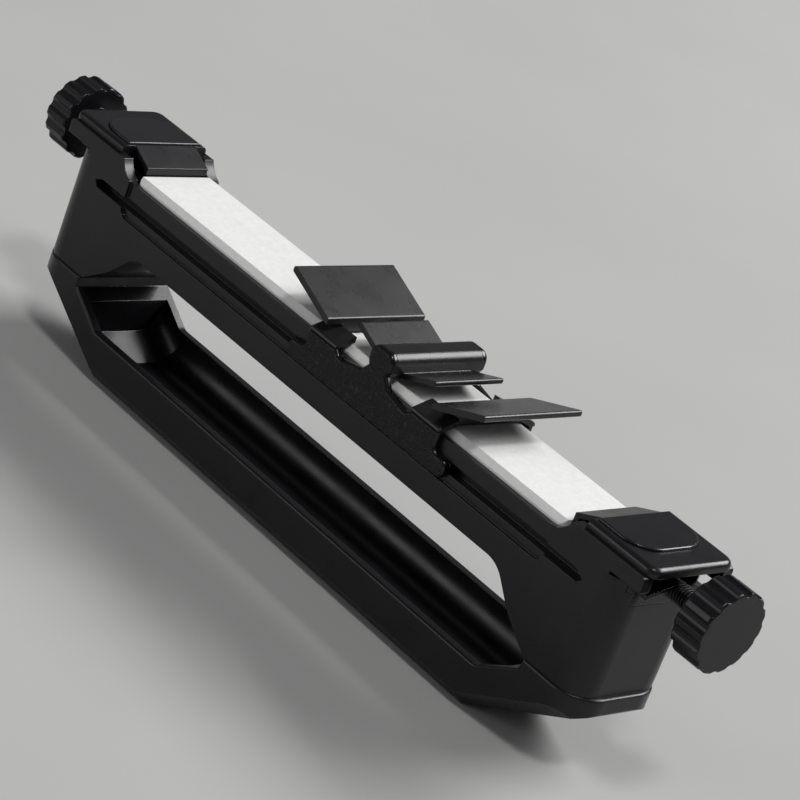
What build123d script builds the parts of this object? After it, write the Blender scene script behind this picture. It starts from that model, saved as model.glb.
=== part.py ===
from build123d import *
import os
from math import acos, cos, radians, sin, sqrt, tan

# A guided knife sharpener. A bow-shaped frame carries a ceramic plate along its top, a
# boat-shaped handle closes the bow below, a knob at each end clamps the plate, and a
# saddle with slanted wings slides along the plate and holds the blade at its angle.
#
# X runs along the plate, Y across it and Z up. The origin lies on the surface that the
# sharpener stands on, under its middle. Lengths are millimetres, angles are degrees.

# A rise is counted up from the knobs' axis and a drop down from it. A margin or an inset
# is counted inwards from the edge of the piece around.

# Sharpening plate: a ceramic slab on a thin metal carrier with a tongue at each end
plate_length = 158.0
ceramic_thickness = 3.0
face_rise = 2.6
edge_bevel_width = 1.2
edge_bevel_height = 1.4
plate_corner_radius = 1.6
carrier_thickness = 1.2
carrier_margin = 0.6
tongue_length = 2.6

# Clearances
running_gap = 0.3
seat_gap = 0.1
track_gap = 0.2
fit_gap = 0.05
overrun = 1.0

# Frame: the beam and its rails
frame_width = 28.8
bay_length = 22.6
rail_rise = 0.7
rail_wall = 1.6
track_depth = 0.9
track_drop = 7.9
track_corner_radius = 2.5
groove_drop = 3.0
groove_height = 2.7
groove_depth = 2.5
groove_reach = 12.0
beam_drop = 14.3
beam_wall = 2.6
beam_pocket_depth = 6.0
beam_pocket_count = 6
rib_thickness = 2.0
beam_edge_radius = 1.2

# Frame: the pillars
pillar_drop = 28.2
pillar_corner_radius = 6.8
foot_length = 17.1
knee_length = 25.6
knee_drop = 22.2
knee_radius = 12.0
neck_length = 33.1
neck_radius = 8.0
pillar_cavity_height = 16.0
pillar_cavity_length = 9.0
boss_diameter = 8.0

# Frame: the cheeks beside the end covers, and the bay between them
cheek_wall = 3.0
cheek_rise = 5.3
swoop_radius = 8.3
swoop_foot = 3.0
arm_reach = 4.1
arm_root = 5.0
arm_rise = 1.5
arm_corner_radius = 1.0
jaw_pocket_drop = 4.7
jaw_pocket_wall = 1.6

# End covers
cover_thickness = 2.2
cover_inset = 1.0
cover_overhang = 5.1
cover_corner_radius = 3.0
cover_edge_radius = 1.4
cover_tongue_drop = 0.6
nose_rise = 4.7
nose_depth = 1.9
nose_wall = 1.4
ramp_run = 6.7
ramp_wall = 1.3
ramp_side_gap = 1.8
cap_side_margin = 2.1
cap_proud = 0.6
cap_seat_depth = 1.0
cap_outer_margin = 6.4
cap_inner_margin = 0.6
cap_corner_radius = 7.5
cap_edge_radius = 0.4

# Clamps: jaw, screw, clip, nut and knob at each end
jaw_gap = 0.8
jaw_length = 8.0
jaw_rise = 1.9
jaw_drop = 4.4
jaw_edge_radius = 0.5
jaw_side_wall = 2.5
release_gap = 0.7
screw_diameter = 5.0
screw_neck_diameter = 3.4
clip_diameter = 7.6
clip_thickness = 0.8
clip_depth = 3.0
screw_tip_length = 0.8
clip_mouth_share = 0.62
nut_flats = 8.0
nut_thickness = 4.0
nut_seat_depth = 5.0
nut_turn = 30.0
knob_diameter = 20.0
knob_width = 8.0
knob_gap = 6.3
knob_lobes = 14
flute_radius = 2.0
flute_depth = 0.85
knob_edge_radius = 0.7
knob_hub_diameter = 9.0
knob_hub_length = 2.6
knob_socket_depth = 5.5

# End blocks that hold the nuts, each with a gabled shelf over its screw
block_recess = 4.6
shelf_inset = 1.7
shelf_drop = 1.2
shelf_crown_rise = 1.0
shelf_thickness = 1.1
shelf_reach = 3.1

# Handle
handle_overhang = 1.1
handle_margin = 0.5
handle_corner_radius = 9.0
handle_depth = 20.8
base_inset = 30.7
end_face_height = 4.2
end_edge_radius = 1.0
keel_bevel = 3.0
rim_drop = 9.3
rim_inset = 28.3
rim_corner_radius = 3.0
rim_end_drop = 2.7
rim_end_setback = 0.6
lip_radius = 0.6
handle_wall = 2.4
trough_floor = 2.6
trough_end_gap = 3.6
trough_radius = 7.0

# Screws and threaded inserts
handle_screw_diameter = 3.0
handle_screw_head_diameter = 5.5
handle_screw_head_height = 2.2
handle_screw_seat = 4.2
handle_screw_length = 9.0
handle_screw_margin = 7.4
handle_screw_inset = 8.1
insert_diameter = 4.4
insert_length = 5.6
cover_screw_diameter = 2.5
cover_screw_head_diameter = 4.6
cover_screw_head_height = 1.3
cover_screw_length = 14.0
cover_screw_nut_gap = 1.1
cover_screw_inset = 7.2
drive_depth_share = 0.55
drive_width_share = 0.45

# Blade guide. Its lengths are counted from its own middle.
guide_rest = 17.6
blade_angle = 20.0
guide_length = 46.8
skirt_thickness = 1.85
skirt_bottom_drop = 7.6
skirt_corner_radius = 2.0
skirt_rim_radius = 1.2
shoulder_rise = 1.9
notch_length = 24.0
notch_floor_rise = 0.4
notch_root_half = 4.9
notch_slope_run = 1.6
hook_reach = 2.2
hook_overhang = 4.9
hook_lobe_drop = 2.9
hook_lobe_radius = 1.6
hook_end_radius = 1.2
tower_half = 3.9
tower_rise = 9.6
tower_bottom_rise = 4.1
tower_waist_half = 3.2
roll_radius = 2.6
upper_wing_inset = 2.95
upper_wing_half = 13.8
upper_wing_rise = 5.35
upper_wing_thickness = 1.3
lower_wing_root_half = 18.8
lower_wing_half = 34.2
lower_wing_rise = 6.74
lower_wing_thickness = 1.5
shoulder_run = 3.7
shoulder_crown_rise = 4.7
shoulder_edge_height = 0.7
shoulder_edge_radius = 0.9
shoulder_end_radius = 0.5
shoulder_thickness = 1.4
bridge_clearance = 0.7
pin_diameter = 1.6
pin_length = 4.4
pin_rise = 6.6
pin_spread = 3.0

# Worked-out places
seam_height = handle_depth
axis_height = seam_height + pillar_drop
face_height = axis_height + face_rise
deck_height = face_height - ceramic_thickness - carrier_thickness
rail_height = axis_height + rail_rise
cheek_height = axis_height + cheek_rise
beam_height = axis_height - beam_drop
cover_height = cheek_height + cover_thickness
rail_half = frame_width / 2 - track_depth
plate_width = 2 * (rail_half - rail_wall - seat_gap)
bay_half = frame_width / 2 - cheek_wall
frame_half = plate_length / 2 + bay_length
cover_half = frame_half + cover_overhang
jaw_travel = tongue_length - jaw_gap + release_gap
jaw_inner = plate_length / 2 + jaw_gap
jaw_outer = jaw_inner + jaw_length
jaw_pocket_width = 2 * (bay_half - jaw_pocket_wall)
jaw_width = jaw_pocket_width - 2 * running_gap
tongue_width = jaw_width - 2 * jaw_side_wall
block_inner = jaw_outer + jaw_travel + running_gap
pocket_floor = axis_height - jaw_pocket_drop
block_top = cheek_height - cover_tongue_drop
knob_inner = cover_half + knob_gap
handle_half = frame_half + handle_overhang
handle_width = frame_width + 2 * handle_margin
base_half = handle_half - base_inset
rim_height = seam_height - rim_drop
nose_start = plate_length / 2 + running_gap
ramp_end = nose_start + ramp_run
cover_width = frame_width - 2 * cover_inset
cap_width = cover_width - 2 * cap_side_margin
shelf_half = bay_half - shelf_inset
clip_place = jaw_inner + jaw_length - clip_depth - clip_thickness
screw_tip = clip_place - screw_tip_length
block_face = frame_half - block_recess
handle_screw_place = frame_half - handle_screw_inset
handle_screw_half = frame_width / 2 - handle_screw_margin
cover_screw_place = frame_half - cover_screw_inset
cover_screw_half = nut_flats / sqrt(3) + cover_screw_nut_gap + cover_screw_diameter / 2
skirt_inner = rail_half + track_gap
skirt_outer = skirt_inner + skirt_thickness
upper_wing_side = skirt_inner - upper_wing_inset
shoulder_inner = skirt_inner - shoulder_run


def outline(points, radii=0):
    """A closed face in length and height, with a rounding for each corner."""
    path = FilletPolyline(*[(x, 0, z) for x, z in points], radius=radii, close=True)
    return make_face(path)


def prism(points, y_low, y_high, radii=0):
    """An outline in length and height, filled from one depth to another."""
    return extrude(Pos(0, y_low, 0) * outline(points, radii), y_high - y_low, dir=(0, 1, 0))


def slab(x_low, x_high, width, z_low, z_high):
    """A block centred across the sharpener."""
    return box_between(x_low, x_high, -width / 2, width / 2, z_low, z_high)


def box_between(x_low, x_high, y_low, y_high, z_low, z_high):
    """A block given by its six faces."""
    middle = Pos((x_low + x_high) / 2, (y_low + y_high) / 2, (z_low + z_high) / 2)
    return middle * Box(x_high - x_low, y_high - y_low, z_high - z_low)


def rod(x_low, x_high, diameter, y=0, z=axis_height):
    """A round bar along the sharpener."""
    bar = Cylinder(diameter / 2, x_high - x_low, rotation=(0, 90, 0))
    return Pos((x_low + x_high) / 2, y, z) * bar


def post(x, y, z_low, z_high, diameter):
    """A round upright bar."""
    return Pos(x, y, (z_low + z_high) / 2) * Cylinder(diameter / 2, z_high - z_low)


def cross_bar(x, z, y_low, y_high, diameter):
    """A round bar across the sharpener."""
    bar = Cylinder(diameter / 2, y_high - y_low, rotation=(90, 0, 0))
    return Pos(x, (y_low + y_high) / 2, z) * bar


def mirrored(part):
    """The same piece at the other end."""
    return mirror(part, about=Plane.YZ)


def both_ends(part):
    """A piece together with its twin at the other end."""
    return part + mirrored(part)


def both_sides(part):
    """A piece together with its twin on the other side."""
    return part + mirror(part, about=Plane.XZ)


def save(name, part):
    export_step(part, f"parts/{name}.step")


# Sharpening plate


def ceramic_plate():
    """The slab, with its long top edges bevelled."""
    half = plate_width / 2
    section = make_face(
        Polyline(
            (0, -half, face_height - ceramic_thickness),
            (0, half, face_height - ceramic_thickness),
            (0, half, face_height - edge_bevel_height),
            (0, half - edge_bevel_width, face_height),
            (0, edge_bevel_width - half, face_height),
            (0, -half, face_height - edge_bevel_height),
            close=True,
        )
    )
    bar = extrude(Pos(-plate_length / 2, 0, 0) * section, plate_length, dir=(1, 0, 0))
    plan = RectangleRounded(plate_length, plate_width, plate_corner_radius)
    return bar & Pos(0, 0, axis_height - ceramic_thickness) * extrude(plan, 2 * ceramic_thickness)


def plate_carrier():
    """The strip under the slab, with a tongue that each jaw holds."""
    top = deck_height + carrier_thickness
    strip = slab(
        -plate_length / 2, plate_length / 2, plate_width - 2 * carrier_margin, deck_height, top
    )
    reach = plate_length / 2 + tongue_length
    return strip + slab(-reach, reach, tongue_width, deck_height, top)


# Frame


def frame_side_points():
    """Half of the bow as seen from its side, from the middle out and back."""
    foot = frame_half - foot_length
    knee = frame_half - knee_length
    neck = frame_half - neck_length
    return [
        (neck, beam_height),
        (knee, axis_height - knee_drop),
        (foot, seam_height),
        (frame_half, seam_height),
        (frame_half, rail_height),
    ]


def frame_bow():
    """Beam and pillars as one thick bow, rounded in plan at both ends."""
    right = frame_side_points()
    left = [(-x, z) for x, z in reversed(right)]
    radii_right = [neck_radius, knee_radius, 0, 0, 0]
    bow = prism(right + left, -frame_width / 2, frame_width / 2, radii_right + radii_right[::-1])
    return bow & frame_plan(seam_height, rail_height)


def frame_plan(low, high):
    """The space over the bow's plan, with the pillars' rounded corners."""
    plan = RectangleRounded(2 * frame_half, frame_width, pillar_corner_radius)
    return Pos(0, 0, low) * extrude(plan, high - low)


def cheek():
    """A side wall of the end bay, swept up from the rail and ending in a short arm."""
    swoop_x = plate_length / 2 - swoop_foot
    swoop_z = rail_height + swoop_radius
    rise = swoop_z - cheek_height
    top_x = swoop_x + sqrt(swoop_radius**2 - rise**2)
    turn = acos(rise / swoop_radius) / 2
    middle = (swoop_x + swoop_radius * sin(turn), 0, swoop_z - swoop_radius * cos(turn))
    end = frame_half + arm_reach
    sweep_up = ThreePointArc((swoop_x, 0, rail_height), middle, (top_x, 0, cheek_height))
    corner = arm_corner_radius
    rest = FilletPolyline(
        (top_x, 0, cheek_height),
        (end, 0, cheek_height),
        (end, 0, axis_height + arm_rise),
        (frame_half - arm_root, 0, axis_height + arm_rise),
        (frame_half - arm_root, 0, rail_height - rail_rise),
        (swoop_x, 0, rail_height - rail_rise),
        (swoop_x, 0, rail_height),
        radius=[corner, 0, 0, 0, 0],
    )
    face = make_face(sweep_up + rest)
    return extrude(Pos(0, bay_half, 0) * face, cheek_wall, dir=(0, 1, 0))


def frame_cuts():
    """The bed for the plate and, at each end, the bay and the jaw's pocket below it."""
    bed_half = plate_length / 2 + running_gap
    bed = slab(
        -bed_half, bed_half, plate_width + 2 * seat_gap, deck_height, rail_height + overrun
    )
    end = frame_half + arm_reach + overrun
    bay = slab(bed_half - overrun, end, 2 * bay_half, deck_height, cheek_height + overrun)
    pocket_start = jaw_inner - running_gap
    pocket = slab(pocket_start, end, jaw_pocket_width, pocket_floor, deck_height + overrun)
    return bed + both_ends(bay + pocket)


def track_cut():
    """The shallow recess that the guide's skirt runs in, on one side."""
    half = plate_length / 2
    low = axis_height - track_drop
    high = rail_height + overrun
    corner = track_corner_radius
    points = [(-half, low), (half, low), (half, high), (-half, high)]
    return prism(points, rail_half, frame_width / 2 + overrun, [corner, corner, 0, 0])


def groove_cut():
    """The slot that the guide's hook runs in, on one side, with pointed ends."""
    half = plate_length / 2 + groove_reach
    top = axis_height - groove_drop
    low = top - groove_height
    floor = rail_half - groove_depth
    points = [(half - groove_height, top), (half, top - groove_height / 2)]
    points += [(half - groove_height / 2, low)]
    points += [(-x, z) for x, z in reversed(points)]
    return prism(points, floor, frame_width / 2 + overrun, 0)


def beam_pockets():
    """The open cells in the underside of the beam, parted by cross ribs."""
    neck = frame_half - neck_length - neck_radius / 2
    pitch = (2 * neck + rib_thickness) / beam_pocket_count
    width = frame_width - 2 * beam_wall
    cells = [
        slab(
            -neck + index * pitch,
            -neck + (index + 1) * pitch - rib_thickness,
            width,
            beam_height - overrun,
            beam_height + beam_pocket_depth,
        )
        for index in range(beam_pocket_count)
    ]
    return Part() + cells


def pillar_cavity():
    """The hollow inside one pillar, around the two bosses for the inserts."""
    outer = frame_half - beam_wall
    width = frame_width - 2 * beam_wall
    low = seam_height - overrun
    high = seam_height + pillar_cavity_height
    plan = RectangleRounded(2 * outer, width, pillar_corner_radius - beam_wall)
    hollow = Pos(0, 0, low) * extrude(plan, high - low)
    hollow &= slab(outer - pillar_cavity_length, outer, width, low, high)
    for side in (-1, 1):
        hollow -= post(handle_screw_place, side * handle_screw_half, low, high, boss_diameter)
    return hollow


def insert_holes():
    """Two holes up into one pillar for the threaded inserts and the screw ends."""
    holes = Part()
    for side in (-1, 1):
        y = side * handle_screw_half
        wide = insert_diameter + 2 * fit_gap
        holes += post(handle_screw_place, y, seam_height - overrun, seam_height + insert_length, wide)
        tip = seam_height + handle_screw_length - handle_screw_seat + overrun
        holes += post(handle_screw_place, y, seam_height, tip, handle_screw_diameter + 2 * fit_gap)
    return holes


def cover_screw_holes():
    """Two pilot holes down into one pillar for the cover's screws."""
    holes = Part()
    for side in (-1, 1):
        y = side * cover_screw_half
        low = cover_screw_tip() - overrun
        holes += post(cover_screw_place, y, low, deck_height, cover_screw_diameter + 2 * fit_gap)
    return holes


def bow_frame():
    """The black moulded bow that carries everything else."""
    frame = frame_bow() + both_ends(both_sides(cheek()))
    frame -= frame_cuts()
    frame -= both_sides(track_cut() + groove_cut())
    frame -= beam_pockets()
    frame -= both_ends(pillar_cavity() + insert_holes() + cover_screw_holes())
    return frame


# End covers and caps


def cover_near():
    """The cover that bridges the bay, with its ramp down to the plate."""
    plan = end_plan(ramp_end, cover_half, cover_width / 2, cover_corner_radius)
    lid = Pos(0, 0, cheek_height) * extrude(plan, cover_thickness, dir=(0, 0, 1))
    rim = [edge for edge in lid.faces().sort_by(Axis.Z)[-1].edges() if edge.center().X > ramp_end + fit_gap]
    lid = fillet(rim, cover_edge_radius)
    tongue = slab(ramp_end, block_face, 2 * (bay_half - seat_gap), block_top, cheek_height)
    ramp_half = bay_half - ramp_side_gap
    ramp = prism(cover_ramp_points(), -ramp_half, ramp_half)
    body = lid + tongue + ramp
    body -= cap_shape(cap_width + 2 * seat_gap, cover_height - cap_seat_depth, overrun + cap_seat_depth)
    for side in (-1, 1):
        y = side * cover_screw_half
        seat = cover_height - cap_seat_depth - cover_screw_head_height - fit_gap
        head = cover_screw_head_diameter + 2 * seat_gap
        body -= post(cover_screw_place, y, seat, cover_height, head)
        body -= post(cover_screw_place, y, block_top - overrun, seat, cover_screw_diameter + 2 * seat_gap)
    return body


def cover_ramp_points():
    """The ramp and its blunt nose seen from the side, with their walls."""
    nose_top = axis_height + nose_rise
    nose_low = nose_top - nose_depth
    slope = (cover_height - nose_top) / ramp_run
    sink = ramp_wall * sqrt(1 + slope**2)
    return [
        (nose_start, nose_low),
        (nose_start, nose_top),
        (ramp_end, cover_height),
        (ramp_end, cover_height - sink),
        (nose_start + nose_wall, nose_top + nose_wall * slope - sink),
        (nose_start + nose_wall, nose_low),
    ]


def end_plan(inner, outer, half, corner):
    """A plan that is square towards the plate and rounded outwards."""
    points = [(inner, -half, 0), (outer, -half, 0), (outer, half, 0), (inner, half, 0)]
    return make_face(FilletPolyline(*points, radius=[0, corner, corner, 0], close=True))


def cap_shape(width, low, thickness):
    """The raised cap, or the seat for it."""
    inner = ramp_end + cap_inner_margin
    plan = end_plan(inner, cover_half - cap_outer_margin, width / 2, cap_corner_radius)
    return Pos(0, 0, low) * extrude(plan, thickness, dir=(0, 0, 1))


def cap_near():
    """The raised cap let into the cover, over its screws."""
    cap = cap_shape(cap_width, cover_height - cap_seat_depth, cap_seat_depth + cap_proud)
    top = cap.faces().sort_by(Axis.Z)[-1]
    return fillet(top.edges(), cap_edge_radius)


def cover_screw_tip():
    """The height of the lower end of a cover screw."""
    return cover_height - cap_seat_depth - cover_screw_head_height - cover_screw_length


def cover_screws():
    """Four small screws that hold the covers and the end blocks on the frame."""
    screws = Part()
    top = cover_height - cap_seat_depth - fit_gap
    for side in (-1, 1):
        y = side * cover_screw_half
        head_low = top - cover_screw_head_height
        screw = post(cover_screw_place, y, head_low, top, cover_screw_head_diameter)
        screw += post(cover_screw_place, y, cover_screw_tip(), head_low, cover_screw_diameter)
        screw -= drive_recess(
            cover_screw_place, y, top, cover_screw_head_diameter, cover_screw_head_height, -1
        )
        screws += screw
    return both_ends(screws)


def drive_recess(x, y, face, head_diameter, head_height, side):
    """A hexagonal recess in a screw's head. Side is -1 below the face and 1 above it."""
    radius = head_diameter * drive_width_share / 2
    depth = head_height * drive_depth_share
    plan = Pos(x, y, face) * RegularPolygon(radius, 6)
    return extrude(plan, side * depth)


# Clamp at the near end


def jaw_near():
    """The sliding jaw that grips the carrier's tongue."""
    low = axis_height - jaw_drop
    high = axis_height + jaw_rise
    block = slab(jaw_inner, jaw_outer, jaw_width, low, high)
    block = fillet(block.edges().filter_by(Axis.Z), jaw_edge_radius)
    slot_low = deck_height - seat_gap
    slot_high = deck_height + carrier_thickness + seat_gap
    reach = plate_length / 2 + tongue_length + seat_gap
    slot_width = tongue_width + 2 * seat_gap
    block -= slab(jaw_inner - overrun, reach, slot_width, slot_low, slot_high)
    bore = screw_diameter + 2 * seat_gap
    start = screw_tip - seat_gap
    block -= rod(start, jaw_outer + overrun, bore)
    block -= slab(start, jaw_outer + overrun, bore, axis_height, high + overrun)
    wide = clip_diameter + 2 * seat_gap
    gap = clip_place - seat_gap
    far = clip_place + clip_thickness + seat_gap
    block -= rod(gap, far, wide) + slab(gap, far, wide, axis_height, high + overrun)
    return block


def screw_near():
    """The clamp screw, necked for its clip at the inner end."""
    outer = knob_inner + knob_socket_depth
    neck_end = clip_place + clip_thickness + fit_gap
    shank = rod(neck_end, outer, screw_diameter)
    neck = rod(clip_place - fit_gap, neck_end, screw_neck_diameter)
    return shank + neck + rod(screw_tip, clip_place - fit_gap, screw_diameter)


def clip_near():
    """The open ring that keeps the screw in its jaw."""
    ring = rod(clip_place, clip_place + clip_thickness, clip_diameter)
    bore = screw_neck_diameter + 2 * fit_gap
    ring -= rod(clip_place - overrun, clip_place + clip_thickness + overrun, bore)
    mouth = screw_neck_diameter * clip_mouth_share
    low = axis_height - clip_diameter
    return ring - slab(clip_place - overrun, clip_place + clip_thickness + overrun, mouth, low, axis_height)


def knob_near():
    """The fluted knob, with a hub behind it and a blind socket for the screw."""
    outer = knob_inner + knob_width
    body = rod(knob_inner, outer, knob_diameter)
    body = fillet(body.edges().filter_by(GeomType.CIRCLE), knob_edge_radius)
    ring = knob_diameter / 2 - flute_depth + flute_radius
    for index in range(knob_lobes):
        turn = radians(360 * (index + 1 / 2) / knob_lobes)
        y = ring * cos(turn)
        z = axis_height + ring * sin(turn)
        body -= rod(knob_inner - overrun, outer + overrun, 2 * flute_radius, y, z)
    body += rod(knob_inner - knob_hub_length, knob_inner, knob_hub_diameter)
    socket = screw_diameter + 2 * fit_gap
    return body - rod(knob_inner - knob_hub_length - overrun, knob_inner + knob_socket_depth, socket)


def nut():
    """A hexagonal nut with its bore."""
    plan = RegularPolygon(nut_flats / 2, 6, major_radius=False, rotation=nut_turn)
    body = extrude(plan, nut_thickness)
    body = Pos(block_inner + nut_seat_depth - nut_thickness, 0, axis_height) * Rot(0, 90, 0) * body
    return body - rod(block_inner, block_inner + nut_seat_depth + overrun, screw_diameter + 2 * fit_gap)


def nut_pocket():
    """The hexagonal pocket that holds a nut from turning."""
    plan = RegularPolygon(nut_flats / 2 + fit_gap, 6, major_radius=False, rotation=nut_turn)
    body = extrude(plan, nut_seat_depth + overrun)
    return Pos(block_inner - overrun, 0, axis_height) * Rot(0, 90, 0) * body


def end_block_near():
    """The block between the cheeks that holds the nut, with a gabled shelf."""
    lower = slab(
        block_inner, frame_half, jaw_pocket_width - 2 * seat_gap, pocket_floor, deck_height
    )
    upper = slab(block_inner, frame_half, 2 * (bay_half - seat_gap), deck_height, block_top)
    block = (lower + upper) & frame_plan(pocket_floor, block_top)
    shelf_end = frame_half + shelf_reach
    rise = block_top + overrun - axis_height
    block -= gable(block_face, shelf_end, rise, rise)
    block += gable(block_face, shelf_end, shelf_thickness - shelf_drop, shelf_crown_rise + shelf_thickness)
    block -= nut_pocket()
    block -= rod(block_inner - overrun, shelf_end + overrun, screw_diameter + 2 * seat_gap)
    for side in (-1, 1):
        block -= post(
            cover_screw_place,
            side * cover_screw_half,
            pocket_floor - overrun,
            cheek_height,
            cover_screw_diameter + 2 * seat_gap,
        )
    return block


def gable(x_low, x_high, side_rise, crown_rise):
    """The space from the shelf's two slopes up to given rises at its sides and its crown."""
    section = Polyline(
        (x_low, -shelf_half, axis_height - shelf_drop),
        (x_low, 0, axis_height + shelf_crown_rise),
        (x_low, shelf_half, axis_height - shelf_drop),
        (x_low, shelf_half, axis_height + side_rise),
        (x_low, 0, axis_height + crown_rise),
        (x_low, -shelf_half, axis_height + side_rise),
        close=True,
    )
    return extrude(make_face(section), x_high - x_low, dir=(1, 0, 0))


# Handle


def handle_points(inset):
    """Half of the handle's underside as seen from its side, drawn in by a wall."""
    slope = (seam_height - end_face_height) / base_inset
    lift = inset * sqrt(1 + slope**2)
    corner = base_half + (lift - inset) / slope
    end = handle_half - inset
    return [(corner, inset), (end, (end - base_half) * slope + lift)]


def handle_boat():
    """The handle as a solid boat, bevelled along its underside and its sloping ends."""
    corner, end = handle_points(0)
    rim_end = frame_half - foot_length + rim_end_setback
    right = [
        corner,
        end,
        (end[0], seam_height),
        (rim_end, seam_height),
        (rim_end - rim_end_setback, seam_height - rim_end_drop),
        (frame_half - rim_inset, rim_height),
    ]
    left = [(-x, z) for x, z in reversed(right)]
    half = handle_width / 2
    radii = [0, 0, 0, lip_radius, lip_radius, rim_corner_radius]
    boat = prism(right + left, -half, half, radii + radii[::-1])
    slope_middle = end[1] / 2
    low_edges = [
        edge
        for edge in boat.edges()
        if abs(edge.center().Y) > half - fit_gap and edge.center().Z < slope_middle + fit_gap
    ]
    return chamfer(low_edges, keel_bevel)


def handle_shell():
    """The boat within its rounded plan, with the edges of its ends rounded."""
    boat = handle_boat()
    ends = boat.edges().filter_by(Axis.Y)
    end_edges = [ends.sort_by(Axis.X)[:2].sort_by(Axis.Z)[0], ends.sort_by(Axis.X)[-2:].sort_by(Axis.Z)[0]]
    boat = fillet(end_edges, end_edge_radius)
    plan = RectangleRounded(2 * handle_half, handle_width, handle_corner_radius)
    shell = boat & extrude(plan, seam_height)
    lip_start = frame_half - foot_length + rim_end_setback + lip_radius
    lip = [
        edge
        for edge in shell.edges()
        if edge.center().Z > seam_height - fit_gap and abs(edge.center().X) > lip_start
    ]
    return fillet(lip, lip_radius)


def handle_trough():
    """The hollow that the fingers reach into, rounded along its floor."""
    inner_half = frame_half - foot_length - trough_end_gap
    (corner_x, floor), (end_x, end_z) = handle_points(trough_floor)
    slope = (end_z - floor) / (end_x - corner_x)
    tip_z = floor + slope * (inner_half - corner_x)
    top = seam_height + overrun
    right = [(corner_x, floor), (inner_half, tip_z), (inner_half, top)]
    left = [(-x, z) for x, z in reversed(right)]
    half = handle_width / 2 - handle_wall
    hollow = prism(right + left, -half, half)
    low_edges = [
        edge
        for edge in hollow.edges()
        if abs(edge.center().Y) > half - fit_gap and edge.center().Z < tip_z and edge.center().Z < rim_height
    ]
    return fillet(low_edges, trough_radius)


def handle():
    """The grip, with two stepped screw holes up through each end."""
    grip = handle_shell() - handle_trough()
    for x in (-handle_screw_place, handle_screw_place):
        for side in (-1, 1):
            y = side * handle_screw_half
            seat = seam_height - handle_screw_seat
            head = handle_screw_head_diameter + 2 * seat_gap
            shank = handle_screw_diameter + 2 * seat_gap
            grip -= post(x, y, -overrun, seat, head)
            grip -= post(x, y, seat - overrun, seam_height + overrun, shank)
    return grip


def handle_screws():
    """Four screws from below that hold the handle to the pillars."""
    screws = Part()
    seat = seam_height - handle_screw_seat
    for side in (-1, 1):
        y = side * handle_screw_half
        low = seat - handle_screw_head_height
        screw = post(handle_screw_place, y, low, seat, handle_screw_head_diameter)
        screw += post(handle_screw_place, y, seat, seat + handle_screw_length, handle_screw_diameter)
        screw -= drive_recess(
            handle_screw_place, y, low, handle_screw_head_diameter, handle_screw_head_height, 1
        )
        screws += screw
    return both_ends(screws)


def handle_inserts():
    """Four brass inserts in the feet of the pillars."""
    inserts = Part()
    for side in (-1, 1):
        y = side * handle_screw_half
        sleeve = post(handle_screw_place, y, seam_height, seam_height + insert_length, insert_diameter)
        sleeve -= post(
            handle_screw_place,
            y,
            seam_height - overrun,
            seam_height + insert_length + overrun,
            handle_screw_diameter + 2 * fit_gap,
        )
        inserts += sleeve
    return both_ends(inserts)


# Blade guide


def guide_cheek():
    """One side of the saddle: skirt with a lobe at each end, hook, and a head for the tower."""
    half = guide_length / 2
    hook_half = half + hook_overhang
    lobe = axis_height - hook_lobe_drop
    low = axis_height - skirt_bottom_drop
    shoulder = axis_height + shoulder_rise
    notch = notch_length / 2
    notch_low = axis_height + notch_floor_rise
    head = axis_height + tower_rise
    right = [
        (hook_half, low),
        (hook_half, lobe),
        (half, lobe),
        (half, shoulder),
        (notch + notch_slope_run, shoulder),
        (notch, notch_low),
        (notch_root_half, shoulder),
        (tower_waist_half, axis_height + tower_bottom_rise),
        (tower_half, axis_height + upper_wing_rise),
        (tower_half, head),
    ]
    left = [(-x, z) for x, z in reversed(right)]
    bend = roll_radius
    turn = hook_lobe_radius
    radii = [skirt_corner_radius, turn, turn, 0, 0, flute_radius, 0, 0, 0, bend]
    plate = prism(right + left, skirt_inner, skirt_outer, radii + radii[::-1])
    plate = fillet(plate.faces().sort_by(Axis.Y)[-1].edges(), skirt_rim_radius)
    plate += guide_hook(hook_half)
    for place in pin_places():
        plate -= cross_bar(
            0, place, skirt_inner - overrun, pin_outer(), pin_diameter + 2 * fit_gap
        )
    return Pos(guide_rest, 0, 0) * plate


def guide_hook(half):
    """The ledge along the inside of a skirt that runs in the frame's groove."""
    top = axis_height - groove_drop - running_gap
    low = axis_height - groove_drop - groove_height + running_gap
    inner = skirt_inner - hook_reach
    ledge = box_between(-half, half, inner, skirt_inner, low, top)
    tips = ledge.edges().filter_by(Axis.Z).sort_by(Axis.Y)[:2]
    return fillet(tips, hook_end_radius)


def pin_places():
    """The heights of the two pins that join the tower to a cheek."""
    middle = axis_height + pin_rise
    return (middle - pin_spread / 2, middle + pin_spread / 2)


def pin_outer():
    """How far out the pins reach in a cheek."""
    return skirt_inner + pin_length / 3


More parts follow.
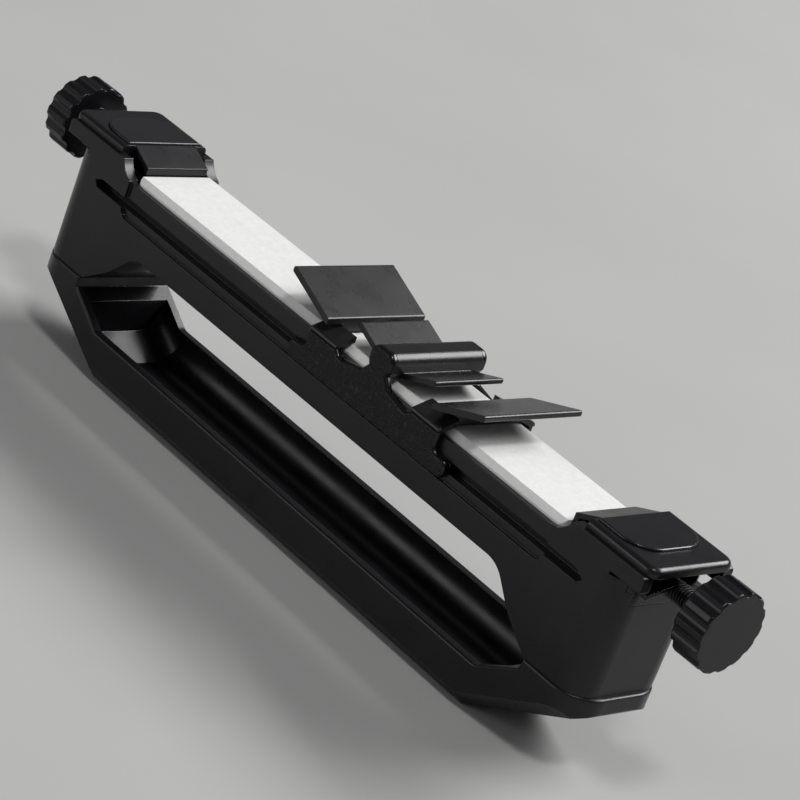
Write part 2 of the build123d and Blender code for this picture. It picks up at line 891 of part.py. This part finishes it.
def guide_tower():
    """The cross piece between the cheeks, with rolled top edges and the upper wings."""
    half = skirt_inner
    bottom = axis_height + tower_bottom_rise
    root = axis_height + upper_wing_rise
    head = axis_height + tower_rise
    core_points = [
        (tower_waist_half, bottom),
        (tower_half, root),
        (tower_half, head),
    ]
    core_points += [(-x, z) for x, z in reversed(core_points)]
    radii = [0, 0, roll_radius]
    tower = prism(core_points, -half, half, radii + radii[::-1])
    rise = tan(radians(blade_angle))
    thick = upper_wing_thickness / cos(radians(blade_angle))
    tip = upper_wing_half
    wing_points = [
        (tower_waist_half, root + (tower_waist_half - tower_half) * rise - thick),
        (tip, root + (tip - tower_half) * rise - thick),
        (tip, root + (tip - tower_half) * rise),
        (tower_waist_half, root + (tower_waist_half - tower_half) * rise),
    ]
    edge = upper_wing_thickness / 3
    wing = prism(wing_points, -upper_wing_side, upper_wing_side, [0, edge, edge, 0])
    tower += both_ends(wing)
    for place in pin_places():
        inner = pin_outer() - pin_length - seat_gap
        hole = cross_bar(0, place, inner, half + overrun, pin_diameter + 2 * fit_gap)
        tower -= both_sides(hole)
    return Pos(guide_rest, 0, 0) * tower


def guide_ramp():
    """A lower wing on its bridge over the plate, with shoulders that seat on the cheeks."""
    rise = tan(radians(blade_angle))
    thick = lower_wing_thickness / cos(radians(blade_angle))
    root = lower_wing_root_half
    tip = lower_wing_half
    top = axis_height + lower_wing_rise
    edge = lower_wing_thickness / 3
    wing_points = [
        (root, top - thick),
        (tip, top + (tip - root) * rise - thick),
        (tip, top + (tip - root) * rise),
        (root, top),
    ]
    ramp = prism(wing_points, -skirt_outer, skirt_outer, [0, edge, edge, edge])
    half = guide_length / 2
    bridge_low = face_height + bridge_clearance
    bridge_points = [
        (root, bridge_low),
        (half, bridge_low),
        (half, top + (half - root) * rise - thick / 2),
        (root, top - thick / 2),
    ]
    ramp += prism(bridge_points, -shoulder_inner, shoulder_inner)
    ramp += both_sides(shoulder(half))
    return ramp


def shoulder(half):
    """A shoulder from the skirt's top edge in over the plate's edge, rounded at its end."""
    low = axis_height + shoulder_rise
    crown = axis_height + shoulder_crown_rise
    section = make_face(
        FilletPolyline(
            (0, skirt_outer, low),
            (0, skirt_outer, low + shoulder_edge_height),
            (0, shoulder_inner, crown),
            (0, shoulder_inner, crown - shoulder_thickness),
            (0, skirt_inner, low),
            radius=[0, shoulder_edge_radius, 0, 0, 0],
            close=True,
        )
    )
    start = notch_length / 2 + notch_slope_run
    body = extrude(Pos(start, 0, 0) * section, half - start, dir=(1, 0, 0))
    edges = body.faces().sort_by(Axis.X)[-1].edges()
    crest = edges.filter_by(GeomType.CIRCLE) + [edges.sort_by(SortBy.LENGTH)[-1]]
    return fillet(crest, shoulder_end_radius)


def guide_pins():
    """Four steel pins through the tower's ends into the cheeks."""
    pins = Part()
    for place in pin_places():
        outer = pin_outer()
        pins += both_sides(cross_bar(0, place, outer - pin_length, outer, pin_diameter))
    return Pos(guide_rest, 0, 0) * pins


def main():
    os.makedirs("parts", exist_ok=True)
    save("ceramic_plate", ceramic_plate())
    save("plate_carrier", plate_carrier())
    save("bow_frame", bow_frame())
    save("handle", handle())
    save("handle_screws", handle_screws())
    save("handle_inserts", handle_inserts())
    save("cover_screws", cover_screws())
    save("clamp_nuts", both_ends(nut()))
    ends = {
        "cover": cover_near(),
        "cap": cap_near(),
        "end_block": end_block_near(),
        "jaw": jaw_near(),
        "screw": screw_near(),
        "clip": clip_near(),
        "knob": knob_near(),
    }
    for name, part in ends.items():
        save(f"{name}_near", part)
        save(f"{name}_far", mirrored(part))
    cheek_back = guide_cheek()
    save("guide_cheek_back", cheek_back)
    save("guide_cheek_front", mirror(cheek_back, about=Plane.XZ))
    save("guide_tower", guide_tower())
    ramp = guide_ramp()
    save("guide_ramp_near", Pos(guide_rest, 0, 0) * ramp)
    save("guide_ramp_far", Pos(guide_rest, 0, 0) * mirrored(ramp))
    save("guide_pins", guide_pins())


main()
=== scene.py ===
from math import cos, radians, sin, tau

import bmesh
import bpy
from mathutils import Matrix, Vector


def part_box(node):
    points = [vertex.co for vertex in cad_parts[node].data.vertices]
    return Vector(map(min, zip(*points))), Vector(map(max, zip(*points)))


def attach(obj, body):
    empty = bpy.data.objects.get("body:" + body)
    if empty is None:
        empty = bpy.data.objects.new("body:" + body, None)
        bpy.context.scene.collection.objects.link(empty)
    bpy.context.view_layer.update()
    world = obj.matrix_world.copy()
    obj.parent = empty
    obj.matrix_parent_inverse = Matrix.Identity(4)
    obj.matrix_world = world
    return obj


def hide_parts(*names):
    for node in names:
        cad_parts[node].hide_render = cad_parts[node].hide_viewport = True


# The sharpener's shapes come from the CAD. This scene adds the thread of its two clamp
# screws, the finishes, a plain studio and the camera. Lengths are metres, powers watts,
# and noise is sized in cells a metre.

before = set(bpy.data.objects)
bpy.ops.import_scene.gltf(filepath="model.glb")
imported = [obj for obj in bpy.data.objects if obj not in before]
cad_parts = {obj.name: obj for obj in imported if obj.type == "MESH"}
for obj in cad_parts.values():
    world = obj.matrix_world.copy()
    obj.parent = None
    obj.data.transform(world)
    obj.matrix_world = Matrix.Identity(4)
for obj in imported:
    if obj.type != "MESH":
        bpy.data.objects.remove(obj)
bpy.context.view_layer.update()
mm = 0.001

# The view, as fitted to the photograph: a long lens, tilted up from straight down, turned
# about Z, and rolled so that the sharpener lies aslant. Its angles are degrees.
LENS = 139.5
SENSOR_WIDTH = 36
NEAREST_SEEN = 0.01
CAMERA_PLACE = (0.4389, -0.4958, 0.3131)
CAMERA_TURN = 40.5955
CAMERA_TILT = 67.5035
CAMERA_ROLL = 20.9494

# Each lamp: its place, the point that it faces, its width and height, and its power
LAMPS = {
    "key": ((0.75, 2.46, 2.26), (0.05, 0, 0.05), (2.66, 1.01), 124),
    "top": ((1.0, -0.64, 2.57), (0.1, 0, 0.05), (0.45, 0.45), 21),
    "front": ((-1.4, -2.8, 0.93), (0, 0, 0.03), (2.24, 1.4), 19),
}

# The backdrop is what the camera sees past the floor, and the room's light is what falls on things
BACKDROP, BACKDROP_STRENGTH = (0.8, 0.8, 0.79, 1), 1.0
ROOM_LIGHT, ROOM_STRENGTH = (0.95, 0.97, 1, 1), 0.15

FLOOR_HALF = 4.0
FLOOR_DROP = 0.2 * mm
FLOOR_DARK, FLOOR_LIGHT = (0.43, 0.43, 0.42, 1), (0.46, 0.46, 0.45, 1)
FLOOR_ROUGHNESS = 0.9

# Each tone is a dark and a light colour
BLACK = ((0.0046, 0.0042, 0.0056, 1), (0.0088, 0.0080, 0.0102, 1))
WING_BLACK = ((0.008, 0.008, 0.0088, 1), (0.018, 0.0175, 0.019, 1))
# Leather tones: the dark one is the rims' plain black and painted shade in the grain's grooves; the light
# one is a painted highlight on the grain's crests
LEATHER_BLACK_PAINTED_SHADE_AND_HIGHLIGHT = ((0.0018, 0.0015, 0.0024, 1), (0.034, 0.031, 0.038, 1))
CERAMIC_WHITE = ((0.80, 0.80, 0.775, 1), (0.87, 0.87, 0.85, 1))
CARRIER_GREY = ((0.42, 0.42, 0.42, 1), (0.6, 0.6, 0.59, 1))
STEEL_GREY = ((0.36, 0.36, 0.37, 1), (0.58, 0.58, 0.58, 1))
STEEL_BLACK = ((0.03, 0.03, 0.032, 1), (0.06, 0.06, 0.062, 1))
BRASS = ((0.50, 0.34, 0.12, 1), (0.70, 0.50, 0.20, 1))
LEATHER_RUBBED = (0.05, 0.05, 0.052, 1)
LEATHER_SHEEN = 0.42
CERAMIC_MARKED, CERAMIC_RUBBED = (0.60, 0.60, 0.59, 1), (0.66, 0.66, 0.65, 1)

# Where an edge is rubbed, plastic is paler than its light tone and smoother, and metal is brighter
PLASTIC_RUB_GAIN, PLASTIC_RUB_LIFT = 2.6, 0.012
PLASTIC_RUB_POLISH = 0.1
METAL_RUB_GAIN = 1.5
EDGE_SAMPLES = 6

# Each plastic: its tones, the range of its roughness, its grain's size and depth, and its sheen
PLASTICS = {
    "frame_plastic": (BLACK, (0.24, 0.36), 5200, 0.014 * mm, 0.35),
    "cap_plastic": (BLACK, (0.18, 0.28), 7000, 0.007 * mm, 0.45),
    "knob_plastic": (BLACK, (0.18, 0.30), 4200, 0.007 * mm, 0.25),
    "wing_plastic": (WING_BLACK, (0.25, 0.31), 3600, 0.01 * mm, 0.35),
}

# Each metal: its tones, the range of its roughness, its tool lines' size, and their stretch
METALS = {
    "carrier_steel": (CARRIER_GREY, (0.22, 0.4), 900, (0.1, 3, 3)),
    "screw_steel": (STEEL_GREY, (0.2, 0.36), 700, (4, 0.6, 0.6)),
    "black_steel": (STEEL_BLACK, (0.28, 0.42), 700, (4, 1, 1)),
    "insert_brass": (BRASS, (0.22, 0.38), 700, (0.6, 0.6, 4)),
}

NODE_FINISH = {
    "ceramic_plate": "white_ceramic",
    "plate_carrier": "carrier_steel",
    "handle_inserts": "insert_brass",
    "guide_cheek_front": "guide_plastic",
    "guide_cheek_back": "guide_plastic",
    "guide_tower": "wing_plastic",
    "guide_ramp_near": "wing_plastic",
    "guide_ramp_far": "wing_plastic",
    "screw_near": "black_steel",
    "screw_far": "black_steel",
}
STEEL_NODES = ("handle_screws", "cover_screws", "clamp_nuts", "guide_pins", "clip_")

# The clamp screws. The thread's profile gives places along one pitch, as shares of it, with
# the height there from root (0) to crest (1).
SCREW_LINE = 49 * mm
THREAD_PITCH = 0.8 * mm
THREAD_PROFILE = ((0.0, 0.0), (0.31, 1.0), (0.44, 1.0), (0.75, 0.0))
CREST_RADIUS, ROOT_RADIUS, NECK_RADIUS = 2.5 * mm, 2.02 * mm, 1.7 * mm
NECK_GAP = 0.05 * mm
TIP_CHAMFER = 0.2 * mm
SCREW_SIDES = 24
SPARE_TURNS = 4
JOIN_DISTANCE = 0.001 * mm
SHARP_ANGLE = 0.6


# Camera and studio


def make_camera():
    """The viewing angle of the photograph."""
    data = bpy.data.cameras.new("camera")
    data.lens = LENS
    data.sensor_width = SENSOR_WIDTH
    data.clip_start = NEAREST_SEEN
    camera = bpy.data.objects.new("camera", data)
    bpy.context.scene.collection.objects.link(camera)
    place = Matrix.Translation(CAMERA_PLACE)
    for angle, axis in ((CAMERA_TURN, "Z"), (CAMERA_TILT, "X"), (CAMERA_ROLL, "Z")):
        place = place @ Matrix.Rotation(radians(angle), 4, axis)
    camera.matrix_world = place
    bpy.context.scene.camera = camera


def make_light(name, place, target, size, power):
    """A softbox that faces a point."""
    data = bpy.data.lights.new(name, "AREA")
    data.shape = "RECTANGLE"
    data.size, data.size_y = size
    data.energy = power
    light = bpy.data.objects.new(name, data)
    bpy.context.scene.collection.objects.link(light)
    light.location = place
    way = Vector(target) - Vector(place)
    light.rotation_euler = way.to_track_quat("-Z", "Y").to_euler()
    light.visible_camera = False


def make_world():
    """Soft light from all round, and a pale backdrop behind the floor."""
    world = bpy.data.worlds.new("studio")
    bpy.context.scene.world = world
    world.use_nodes = True
    tree = world.node_tree
    tree.nodes.clear()
    seen = add(tree, "ShaderNodeBackground", Color=BACKDROP, Strength=BACKDROP_STRENGTH)
    soft = add(tree, "ShaderNodeBackground", Color=ROOM_LIGHT, Strength=ROOM_STRENGTH)
    path = add(tree, "ShaderNodeLightPath")
    both = add(tree, "ShaderNodeMixShader", Fac=path.outputs["Is Camera Ray"])
    for place, light in enumerate((soft, seen), start=1):
        tree.links.new(light.outputs["Background"], both.inputs[place])
    add(tree, "ShaderNodeOutputWorld", Surface=both.outputs["Shader"])


def make_floor():
    """A wide, plain, pale floor under the sharpener."""
    mesh = bpy.data.meshes.new("floor")
    signs = ((-1, -1), (1, -1), (1, 1), (-1, 1))
    corners = [(FLOOR_HALF * x, FLOOR_HALF * y, 0) for x, y in signs]
    mesh.from_pydata(corners, [], [range(len(corners))])
    floor = bpy.data.objects.new("floor", mesh)
    floor.location.z = -FLOOR_DROP
    bpy.context.scene.collection.objects.link(floor)
    material, tree, shader = new_material("floor_paper")
    cloud = noise(tree, scale=6, detail=3)
    put(tree, ramp(tree, cloud, (0.3, FLOOR_DARK), (0.7, FLOOR_LIGHT)), shader.inputs["Base Color"])
    shader.inputs["Roughness"].default_value = FLOOR_ROUGHNESS
    mesh.materials.append(material)


# Node helpers


def add(tree, kind, settings=None, **inputs):
    """A node with its settings, and its inputs set or linked by name."""
    made = tree.nodes.new(kind)
    for key, value in (settings or {}).items():
        setattr(made, key, value)
    for key, value in inputs.items():
        put(tree, value, made.inputs[key.replace("_", " ")])
    return made


def put(tree, value, socket):
    """Sets a socket to a value, or links it where the value is another socket."""
    if isinstance(value, bpy.types.NodeSocket):
        tree.links.new(value, socket)
    else:
        socket.default_value = value


def spot(tree):
    """A place on the object, in metres from its origin."""
    return add(tree, "ShaderNodeTexCoord").outputs["Object"]


def noise(tree, scale, detail, roughness=0.5, stretch=(1, 1, 1)):
    """Cloudy noise."""
    place = add(tree, "ShaderNodeMapping", Vector=spot(tree), Scale=stretch)
    made = add(
        tree, "ShaderNodeTexNoise", Vector=place.outputs["Vector"],
        Scale=scale, Detail=detail, Roughness=roughness,
    )
    return made.outputs[0]


def pebbles(tree, scale):
    """Soft pebbled cells."""
    settings = {"feature": "SMOOTH_F1"}
    made = add(tree, "ShaderNodeTexVoronoi", settings, Vector=spot(tree), Scale=scale)
    return made.outputs["Distance"]


def ramp(tree, value, *stops):
    """A colour for each value, from two stops of place and colour."""
    made = add(tree, "ShaderNodeValToRGB", Fac=value)
    for element, (place, colour) in zip(made.color_ramp.elements, stops):
        element.position = place
        element.color = colour
    return made.outputs["Color"]


def span(tree, value, source, target):
    """A value carried from one range to another, and kept within it."""
    made = add(tree, "ShaderNodeMapRange", Value=value)
    for socket, number in zip(list(made.inputs)[1:], (*source, *target)):
        socket.default_value = number
    return made.outputs[0]


def blend_colour(tree, share, first, second):
    """Two colours mixed by a share."""
    made = add(tree, "ShaderNodeMix", {"data_type": "RGBA"})
    for place, value in ((0, share), (6, first), (7, second)):
        put(tree, value, made.inputs[place])
    return made.outputs[2]


def blend_value(tree, share, first, second):
    """Two values mixed by a share."""
    made = add(tree, "ShaderNodeMix", {"data_type": "FLOAT"})
    for place, value in ((0, share), (2, first), (3, second)):
        put(tree, value, made.inputs[place])
    return made.outputs[0]


def maths(tree, operation, *values):
    """The result of a maths operation on values or sockets."""
    made = add(tree, "ShaderNodeMath", {"operation": operation})
    for value, socket in zip(values, made.inputs):
        put(tree, value, socket)
    return made.outputs["Value"]


def soft_edge(tree, radius):
    """The normal of an edge rounded over a radius, and how near the edge a point is."""
    round_normal = add(tree, "ShaderNodeBevel", {"samples": EDGE_SAMPLES}, Radius=radius).outputs["Normal"]
    flat_normal = add(tree, "ShaderNodeNewGeometry").outputs["Normal"]
    likeness = add(tree, "ShaderNodeVectorMath", {"operation": "DOT_PRODUCT"})
    for normal, socket in zip((round_normal, flat_normal), likeness.inputs):
        put(tree, normal, socket)
    return round_normal, span(tree, likeness.outputs["Value"], source=(0.995, 0.86), target=(0, 1))


def relief(tree, height, normal, depth, strength):
    """The bumped normal of a height."""
    made = add(
        tree, "ShaderNodeBump", Height=height, Distance=depth, Strength=strength, Normal=normal
    )
    return made.outputs["Normal"]


def new_material(name):
    """An empty procedural material, its node tree and its shader."""
    material = bpy.data.materials.new(name)
    material.use_nodes = True
    return material, material.node_tree, material.node_tree.nodes["Principled BSDF"]


# Finishes


def plastic(name, tones, gloss, grain, depth, sheen):
    """Moulded black plastic: fine spark grain, a cloudy gloss and edges rubbed paler."""
    material, tree, shader = new_material(name)
    round_normal, edges = soft_edge(tree, radius=0.35 * mm)
    dark, light = tones
    base = ramp(tree, noise(tree, scale=70, detail=4), (0.3, dark), (0.75, light))
    wear = span(tree, noise(tree, scale=260, detail=3), source=(0.35, 0.7), target=(0, 0.35))
    rub = maths(tree, "MULTIPLY", edges, wear)
    pale = (*(part * PLASTIC_RUB_GAIN + PLASTIC_RUB_LIFT for part in light[:3]), 1)
    put(tree, blend_colour(tree, rub, base, pale), shader.inputs["Base Color"])
    cloud = noise(tree, scale=140, detail=5, roughness=0.6)
    cloudy = span(tree, cloud, source=(0.25, 0.75), target=gloss)
    polish = maths(tree, "MULTIPLY", edges, PLASTIC_RUB_POLISH)
    put(tree, maths(tree, "SUBTRACT", cloudy, polish), shader.inputs["Roughness"])
    fine = noise(tree, scale=grain, detail=2, roughness=0.6)
    bumped = relief(tree, fine, round_normal, depth=depth, strength=0.5)
    put(tree, bumped, shader.inputs["Normal"])
    shader.inputs["Specular IOR Level"].default_value = sheen
    return material


def flat_side(tree):
    """One on the faces that look straight across the sharpener, and zero on their rims."""
    normal = add(tree, "ShaderNodeNewGeometry").outputs["True Normal"]
    across = add(tree, "ShaderNodeSeparateXYZ", Vector=normal).outputs["Y"]
    return span(tree, maths(tree, "ABSOLUTE", across), source=(0.8, 0.97), target=(0, 1))


def leather_crest(tree, side):
    """How high the leather grain stands: winding ridges, broken by pebbles, on the flat sides."""
    off_middle = maths(tree, "SUBTRACT", noise(tree, scale=640, detail=2, roughness=0.55), 0.5)
    winding = maths(tree, "ABSOLUTE", off_middle)
    ridges = span(tree, winding, source=(0, 0.05), target=(1, 0))
    knots = span(tree, pebbles(tree, scale=900), source=(0.15, 0.6), target=(1, 0.25))
    return maths(tree, "MULTIPLY", maths(tree, "MULTIPLY", ridges, knots), side)


def leather_plastic(name, tones):
    """Black plastic with leather grain on its flat sides and smooth glossy rims; the grain's crests are
    coloured paler as a painted highlight and its grooves darker as painted shade.
    """
    material, tree, shader = new_material(name)
    round_normal, edges = soft_edge(tree, radius=0.25 * mm)
    side = flat_side(tree)
    crest = leather_crest(tree, side)
    dark, light = tones
    # Painted highlight and painted shade: the colour is paler on the grain's crests and darker in its
    # grooves
    base = ramp(tree, crest, (0.1, dark), (0.8, light))
    rub = maths(tree, "MULTIPLY", edges, 0.3)
    put(tree, blend_colour(tree, rub, base, LEATHER_RUBBED), shader.inputs["Base Color"])
    rough = span(tree, crest, source=(0, 1), target=(0.72, 0.18))
    smooth = span(tree, noise(tree, scale=160, detail=3), source=(0.3, 0.7), target=(0.2, 0.32))
    put(tree, blend_value(tree, side, smooth, rough), shader.inputs["Roughness"])
    bumped = relief(tree, crest, round_normal, depth=0.65 * mm, strength=1.0)
    put(tree, bumped, shader.inputs["Normal"])
    shader.inputs["Specular IOR Level"].default_value = LEATHER_SHEEN
    return material


def ceramic(name, tones):
    """Fired white ceramic, finely ground, with faint grey marks of use."""
    material, tree, shader = new_material(name)
    round_normal, edges = soft_edge(tree, radius=0.3 * mm)
    dark, light = tones
    body = ramp(tree, noise(tree, scale=900, detail=4, roughness=0.7), (0.35, dark), (0.65, light))
    strokes = noise(tree, scale=90, detail=5, roughness=0.7, stretch=(0.25, 1.6, 1))
    marks = span(tree, strokes, source=(0.52, 0.8), target=(0, 0.35))
    toned = blend_colour(tree, marks, body, CERAMIC_MARKED)
    rub = maths(tree, "MULTIPLY", edges, 0.25)
    put(tree, blend_colour(tree, rub, toned, CERAMIC_RUBBED), shader.inputs["Base Color"])
    ground = span(tree, noise(tree, scale=500, detail=3), source=(0.3, 0.7), target=(0.42, 0.62))
    put(tree, ground, shader.inputs["Roughness"])
    grit = noise(tree, scale=6500, detail=2, roughness=0.7)
    bumped = relief(tree, grit, round_normal, depth=0.03 * mm, strength=0.35)
    put(tree, bumped, shader.inputs["Normal"])
    return material


def metal(name, tones, gloss, lines, stretch):
    """Worked metal: tool lines along or round the piece, and a cloudy polish."""
    material, tree, shader = new_material(name)
    round_normal, edges = soft_edge(tree, radius=0.15 * mm)
    streaks = noise(tree, scale=lines, detail=3, roughness=0.6, stretch=stretch)
    dark, light = tones
    base = ramp(tree, streaks, (0.3, dark), (0.7, light))
    bright = tuple(min(1, part * METAL_RUB_GAIN) for part in light)
    rub = maths(tree, "MULTIPLY", edges, 0.5)
    put(tree, blend_colour(tree, rub, base, bright), shader.inputs["Base Color"])
    shader.inputs["Metallic"].default_value = 1.0
    put(tree, span(tree, streaks, source=(0.25, 0.75), target=gloss), shader.inputs["Roughness"])
    bumped = relief(tree, streaks, round_normal, depth=0.02 * mm, strength=0.3)
    put(tree, bumped, shader.inputs["Normal"])
    return material


def make_finishes():
    """One material for each of the record's material slots."""
    made = {name: plastic(name, *facts) for name, facts in PLASTICS.items()}
    made |= {name: metal(name, *facts) for name, facts in METALS.items()}
    made["guide_plastic"] = leather_plastic("guide_plastic", LEATHER_BLACK_PAINTED_SHADE_AND_HIGHLIGHT)
    made["white_ceramic"] = ceramic("white_ceramic", CERAMIC_WHITE)
    return made


def finish_of(node):
    """The material slot that a CAD node shows."""
    if node in NODE_FINISH:
        return NODE_FINISH[node]
    if node.startswith(STEEL_NODES):
        return "screw_steel"
    for start in ("cap", "knob"):
        if node.startswith(start):
            return start + "_plastic"
    return "frame_plastic"


def dress_nodes(finishes):
    """Every CAD node gets its procedural material."""
    for node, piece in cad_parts.items():
        piece.data.materials.clear()
        piece.data.materials.append(finishes[finish_of(node)])


# The clamp screws


def ring_point(side, along, radius, share):
    """A point beside the screws' line, a share of a turn round it."""
    turn = tau * share * side
    return side * along, radius * cos(turn), SCREW_LINE + radius * sin(turn)


def thread_point(side, start, end, pitches, height, share):
    """A point of the thread, so many pitches from its start; the thread runs out at both ends."""
    along = min(max(start + (pitches + share) * THREAD_PITCH, start), end)
    deep = ROOT_RADIUS + height * (CREST_RADIUS - ROOT_RADIUS)
    radius = min(deep, ROOT_RADIUS + along - start, ROOT_RADIUS + end - along)
    return ring_point(side, along, radius, share)


def thread_rows(side, start, end):
    """Rows of points that wind along a screw, one row for each point of the thread's profile."""
    turns = int((end - start) / THREAD_PITCH) + SPARE_TURNS
    return [
        [
            thread_point(side, start, end, turn - 1 + place, height, step / SCREW_SIDES)
            for step in range(SCREW_SIDES)
        ]
        for turn in range(turns)
        for place, height in THREAD_PROFILE
    ]


def tip_rows(side, neck_end, clip_end, tip):
    """Rows of points round the neck and the plain tip."""
    outline = (
        (neck_end, ROOT_RADIUS), (neck_end, NECK_RADIUS), (clip_end, NECK_RADIUS),
        (clip_end, CREST_RADIUS - TIP_CHAMFER), (clip_end - TIP_CHAMFER, CREST_RADIUS),
        (tip + TIP_CHAMFER, CREST_RADIUS), (tip, CREST_RADIUS - TIP_CHAMFER),
    )
    return [
        [ring_point(side, along, radius, step / SCREW_SIDES) for step in range(SCREW_SIDES)]
        for along, radius in outline
    ]


def add_skin(mesh, rows, lead):
    """Faces between rows of points; a row's end joins the start of the row that is lead rows on."""
    grid = [[mesh.verts.new(point) for point in row] for row in rows]
    for low in range(len(grid) - 1):
        for step in range(SCREW_SIDES):
            row, turn = (low, step + 1) if step + 1 < SCREW_SIDES else (low + lead, 0)
            if row + 1 < len(grid):
                corners = grid[low][step], grid[row][turn], grid[row + 1][turn], grid[low + 1][step]
                mesh.faces.new(corners)


def clamp_screw_mesh(end):
    """A closed skin of threaded shank, neck and tip, within the plain CAD screw."""
    screw_box, clip_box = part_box("screw_" + end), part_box("clip_" + end)
    side = 1 if screw_box[0][0] > 0 else -1
    tip, outer = sorted(abs(corner[0]) for corner in screw_box)
    clip_end, neck_end = sorted(abs(corner[0]) for corner in clip_box)
    clip_end, neck_end = clip_end - NECK_GAP, neck_end + NECK_GAP
    mesh = bmesh.new()
    add_skin(mesh, thread_rows(side, neck_end, outer), lead=len(THREAD_PROFILE))
    add_skin(mesh, tip_rows(side, neck_end, clip_end, tip), lead=0)
    bmesh.ops.remove_doubles(mesh, verts=mesh.verts, dist=JOIN_DISTANCE)
    bmesh.ops.holes_fill(mesh, edges=mesh.edges, sides=0)
    bmesh.ops.recalc_face_normals(mesh, faces=mesh.faces)
    data = bpy.data.meshes.new("clamp_screw_" + end)
    mesh.to_mesh(data)
    mesh.free()
    return data


def make_clamp_screw(end, finish):
    """A clamp screw with its thread, which replaces the plain CAD screw."""
    data = clamp_screw_mesh(end)
    data.shade_smooth()
    data.set_sharp_from_angle(angle=SHARP_ANGLE)
    data.materials.append(finish)
    piece = bpy.data.objects.new("clamp_screw_" + end, data)
    bpy.context.scene.collection.objects.link(piece)
    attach(piece, "clamp_knob_" + end)
    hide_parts("screw_" + end)


make_camera()
make_world()
make_floor()
for name, facts in LAMPS.items():
    make_light(name, *facts)
bpy.context.scene.view_settings.view_transform = "Standard"
finishes = make_finishes()
dress_nodes(finishes)
for end in ("near", "far"):
    make_clamp_screw(end, finishes["black_steel"])
